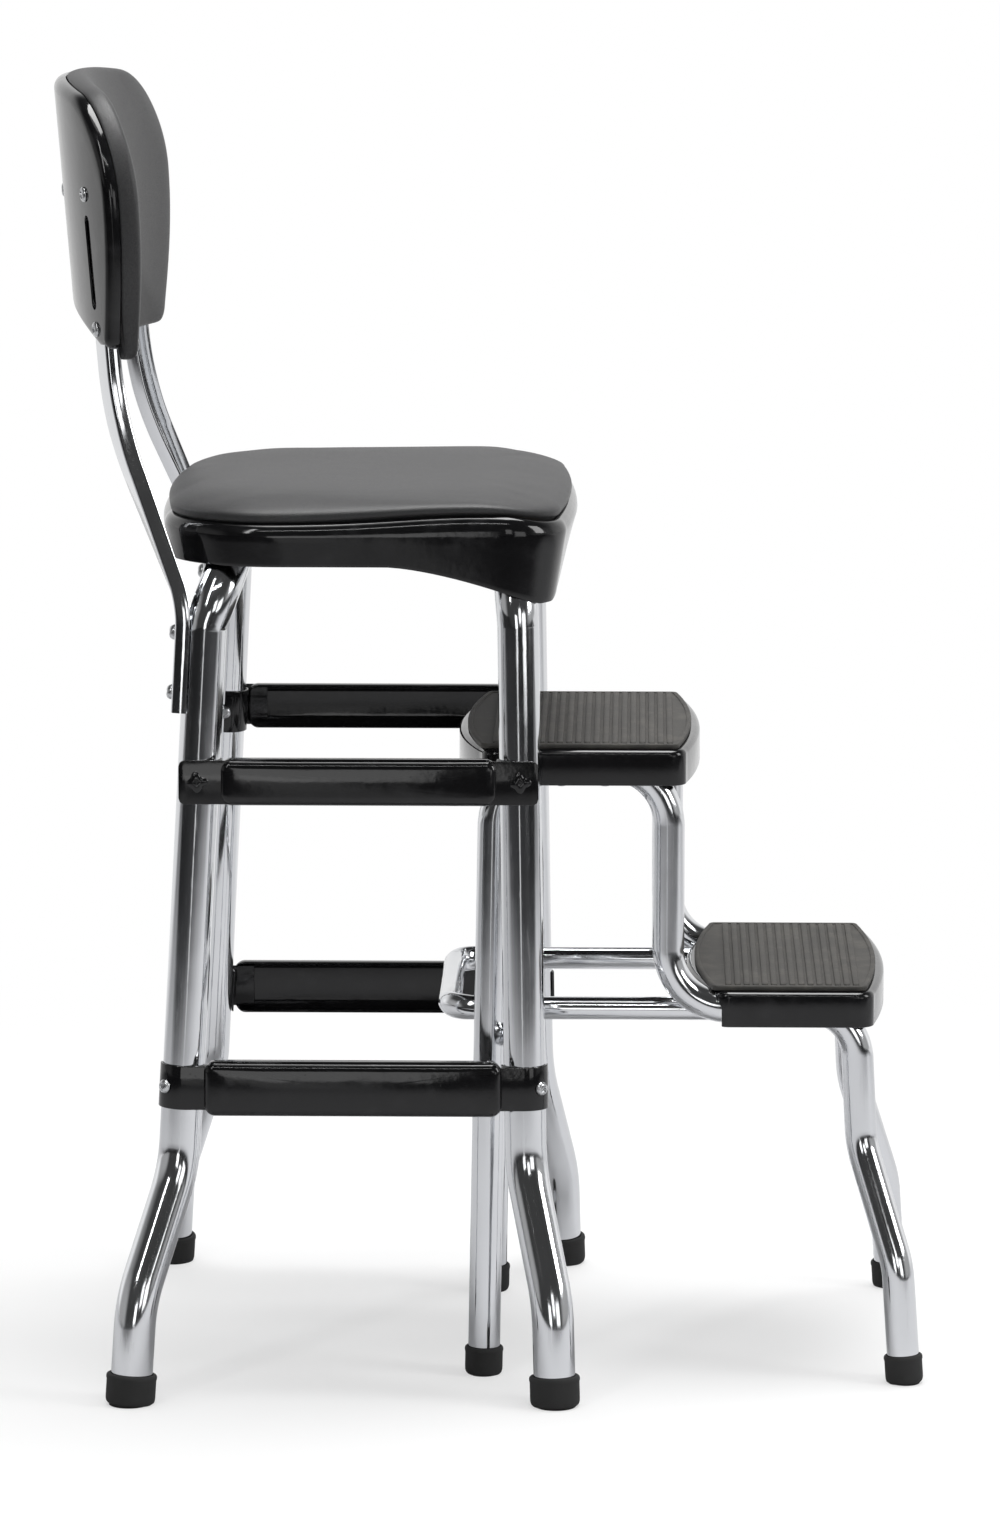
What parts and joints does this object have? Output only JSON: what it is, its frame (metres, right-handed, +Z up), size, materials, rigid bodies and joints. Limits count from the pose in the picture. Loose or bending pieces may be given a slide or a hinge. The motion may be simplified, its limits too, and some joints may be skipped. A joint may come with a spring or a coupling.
{
  "type": "step stool chair",
  "caption": "Counter chair with a padded seat and a curved padded back on bent tube legs, and two ribbed steps on bent tubes that slide out from under the seat.",
  "frame": {"origin": "on the floor, under the middle of the whole chair's box with its steps pulled out", "axes": "+X forward, the way the steps come out; +Y across the chair to its left; +Z up"},
  "size_m": [0.6049, 0.4484, 0.899],
  "materials": {
    "chrome": "bright plated steel tube",
    "screw_steel": "zinc plated, domed heads",
    "black_enamel": "high gloss black enamel on pressed sheet",
    "vinyl": "satin black vinyl upholstery, fine grain",
    "tread_rubber": "matte ribbed rubber",
    "foot_rubber": "matte moulded rubber",
    "board_wood": "plain plywood, hidden inside the cushions"
  },
  "bodies": {
    "chair": {"back_board": "board_wood", "backrest_cushion": "vinyl", "backrest_shell": "black_enamel", "front_cross_bar": "chrome", "front_left_foot_cap": "foot_rubber", "front_leg_loop": "chrome", "front_right_foot_cap": "foot_rubber", "left_back_support": "chrome", "lower_front_left_brace_screw": "screw_steel", "lower_front_right_brace_screw": "screw_steel", "lower_left_brace": "black_enamel", "lower_left_shell_screw": "screw_steel", "lower_left_support_screw": "screw_steel", "lower_rear_left_brace_screw": "screw_steel", "lower_rear_right_brace_screw": "screw_steel", "lower_right_brace": "black_enamel", "lower_right_shell_screw": "screw_steel", "lower_right_support_screw": "screw_steel", "rear_left_foot_cap": "foot_rubber", "rear_leg_loop": "chrome", "rear_right_foot_cap": "foot_rubber", "right_back_support": "chrome", "seat_board": "board_wood", "seat_cushion": "vinyl", "seat_front_left_screw": "screw_steel", "seat_front_right_screw": "screw_steel", "seat_pan": "black_enamel", "seat_rear_left_screw": "screw_steel", "seat_rear_right_screw": "screw_steel", "upper_front_left_brace_screw": "screw_steel", "upper_front_right_brace_screw": "screw_steel", "upper_left_brace": "black_enamel", "upper_left_shell_screw": "screw_steel", "upper_left_support_screw": "screw_steel", "upper_middle_shell_screw": "screw_steel", "upper_rear_left_brace_screw": "screw_steel", "upper_rear_right_brace_screw": "screw_steel", "upper_right_brace": "black_enamel", "upper_right_shell_screw": "screw_steel", "upper_right_support_screw": "screw_steel"},
    "step_unit": {"guide_tube": "chrome", "left_step_frame": "chrome", "lower_left_pan_screw": "screw_steel", "lower_right_pan_screw": "screw_steel", "lower_step_pan": "black_enamel", "lower_tread": "tread_rubber", "right_step_frame": "chrome", "step_front_left_foot_cap": "foot_rubber", "step_front_right_foot_cap": "foot_rubber", "step_rear_left_foot_cap": "foot_rubber", "step_rear_right_foot_cap": "foot_rubber", "upper_front_left_pan_screw": "screw_steel", "upper_front_right_pan_screw": "screw_steel", "upper_rear_left_pan_screw": "screw_steel", "upper_rear_right_pan_screw": "screw_steel", "upper_step_pan": "black_enamel", "upper_tread": "tread_rubber"}
  },
  "joints": [
    {"name": "steps_slide", "type": "slide", "parent": "chair", "child": "step_unit", "axis": [-1, 0, 0], "range_m": [0, 0.17]}
  ]
}
